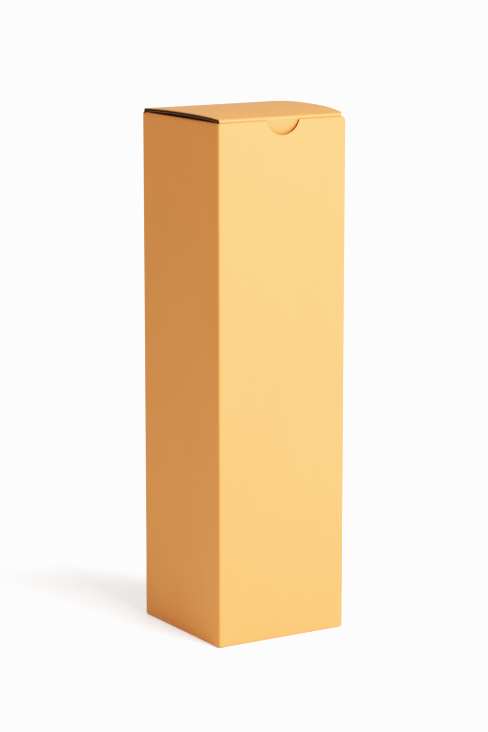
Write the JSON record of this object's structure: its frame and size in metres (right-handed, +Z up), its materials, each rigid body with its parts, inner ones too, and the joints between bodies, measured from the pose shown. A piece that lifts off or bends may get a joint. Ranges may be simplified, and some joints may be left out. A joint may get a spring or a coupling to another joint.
{
  "type": "closed tuck-top cardboard box",
  "caption": "Tall square kraft carton of corrugated board, closed by a hinged lid whose tuck flap slips behind the front panel at a thumb notch.",
  "frame": {"origin": "centre of the box's footprint, on the surface that it stands on", "axes": "+Z up along the box's height, -Y towards the front panel with the thumb notch, +X towards the right panel seen from the front"},
  "size_m": [0.071, 0.071, 0.2543],
  "materials": {
    "kraft_board": "matt kraft liner on fine-flute corrugated board"
  },
  "bodies": {
    "carton": {"box_body": "kraft_board"},
    "closure": {"lid": "kraft_board"}
  },
  "joints": [
    {"name": "lid_hinge", "type": "hinge", "parent": "carton", "child": "closure", "pos_m": [0, 0.0352, 0.25255], "axis": [-1, 0, 0], "range_deg": [0, 180]}
  ]
}
